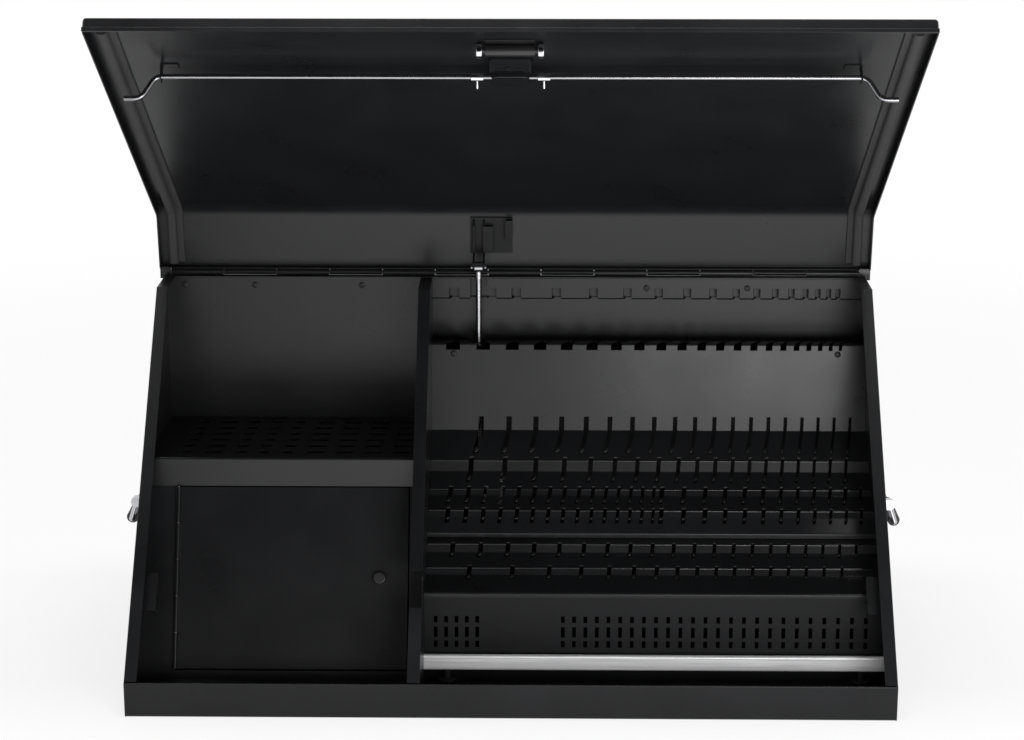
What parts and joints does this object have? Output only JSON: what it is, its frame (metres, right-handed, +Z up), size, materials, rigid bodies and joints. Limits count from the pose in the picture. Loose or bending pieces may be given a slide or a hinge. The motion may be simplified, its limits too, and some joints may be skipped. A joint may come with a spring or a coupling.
{
  "type": "triangle top toolbox",
  "caption": "Wedge-fronted black steel toolbox with a lifting lid, a door compartment with a perforated shelf, and stepped wrench racks.",
  "frame": {"origin": "centre of the flat bottom", "axes": "+X to the right along the width, +Y from the front lip to the back panel, +Z up"},
  "size_m": [0.9674, 0.4749, 0.8292],
  "materials": {
    "black_paint": "fine satin black powder coat",
    "gloss_black": "smooth semi-gloss black paint",
    "dark_hardware": "black oxide satin",
    "chrome": "bright plated",
    "zinc": "zinc plated, satin",
    "black_rubber": "matt",
    "bright_bar": "brushed along its length"
  },
  "bodies": {
    "chest": {"base_pan": "black_paint", "back_panel": "black_paint", "side_panel_left": "black_paint", "side_panel_right": "black_paint", "divider_panel": "black_paint", "perforated_shelf": "black_paint", "compartment_frame": "black_paint", "door_hinge_pin": "zinc", "upper_comb": "black_paint", "upper_step_rack": "black_paint", "lower_step_rack": "black_paint", "bit_panel": "black_paint", "tool_bar": "bright_bar", "bar_feet": "dark_hardware", "panel_screws": "dark_hardware", "striker_left": "black_paint", "striker_right": "black_paint", "hinge_body_leaf": "black_paint", "hinge_pin": "black_paint", "strut_body_bracket": "zinc", "handle_plate_left": "chrome", "handle_plate_right": "chrome"},
    "lid": {"lid_shell": "black_paint", "lid_seal": "black_rubber", "hinge_lid_leaf": "black_paint", "latch_housing": "black_paint", "latch_barrel": "dark_hardware", "barrel_ends": "chrome", "paddle_pin": "zinc", "rod_guide_left": "black_paint", "rod_guide_right": "black_paint", "strut_lid_bracket": "gloss_black", "strut_stud": "zinc"},
    "door": {"compartment_door": "black_paint"},
    "knob": {"door_knob": "dark_hardware", "cam_latch": "dark_hardware"},
    "paddle": {"paddle": "black_paint"},
    "lock": {"lock_cylinder": "chrome"},
    "rod_left": {"rod_left": "chrome", "rod_clamp_left": "chrome"},
    "rod_right": {"rod_right": "chrome", "rod_clamp_right": "chrome"},
    "piston": {"strut_rod": "chrome"},
    "cylinder": {"strut_cylinder": "gloss_black"},
    "bail_left": {"handle_bail_left": "chrome", "handle_grip_left": "black_rubber"},
    "bail_right": {"handle_bail_right": "chrome", "handle_grip_right": "black_rubber"}
  },
  "joints": [
    {"name": "lid_hinge", "type": "hinge", "parent": "chest", "child": "lid", "pos_m": [0, 0.2161, 0.446], "axis": [1, 0, 0], "range_deg": [0, 82.1]},
    {"name": "strut_pivot", "type": "hinge", "parent": "lid", "child": "piston", "pos_m": [-0.0465, 0.1915, 0.458], "axis": [1, 0, 0], "range_deg": [-84.22, 0]},
    {"name": "strut_slide", "type": "slide", "parent": "piston", "child": "cylinder", "axis": [0, 0.0195, 0.9998], "range_m": [0, 0.03436]},
    {"name": "paddle_pull", "type": "hinge", "parent": "lid", "child": "paddle", "pos_m": [0, -0.132, 0.75447], "axis": [-1, 0, 0], "range_deg": [0, 45], "stiffness_Nm_per_rad": 0.4, "springref_deg": -28.65},
    {"name": "rod_left_slide", "type": "slide", "parent": "lid", "child": "rod_left", "axis": [1, 0, 0], "range_m": [0, 0.00701]},
    {"name": "rod_right_slide", "type": "slide", "parent": "lid", "child": "rod_right", "axis": [-1, 0, 0], "range_m": [0, 0.00701]},
    {"name": "lock_turn", "type": "hinge", "parent": "paddle", "child": "lock", "pos_m": [0, -0.15171, 0.77275], "axis": [0, 0.5479, 0.8365], "range_deg": [0, 90]},
    {"name": "door_hinge", "type": "hinge", "parent": "chest", "child": "door", "pos_m": [-0.41505, -0.0542, 0.11283], "axis": [0, 0.3859, 0.9225], "range_deg": [-95, 0]},
    {"name": "knob_turn", "type": "hinge", "parent": "door", "child": "knob", "pos_m": [-0.1633, -0.0495, 0.11682], "axis": [0, 0.9225, -0.3859], "range_deg": [0, 90]},
    {"name": "bail_left_swing", "type": "hinge", "parent": "chest", "child": "bail_left", "pos_m": [-0.4672, 0.03825, 0.2052], "axis": [0, 1, 0], "range_deg": [0, 75]},
    {"name": "bail_right_swing", "type": "hinge", "parent": "chest", "child": "bail_right", "pos_m": [0.4672, 0.03825, 0.2052], "axis": [0, -1, 0], "range_deg": [0, 75]}
  ],
  "couplings": [
    {"joint": "strut_pivot", "follows": "lid_hinge", "ratio": -1.0255},
    {"joint": "strut_slide", "follows": "lid_hinge", "m_per_rad": 0.023969},
    {"joint": "rod_left_slide", "follows": "paddle_pull", "m_per_rad": 0.0089127},
    {"joint": "rod_right_slide", "follows": "paddle_pull", "m_per_rad": 0.0089127}
  ]
}
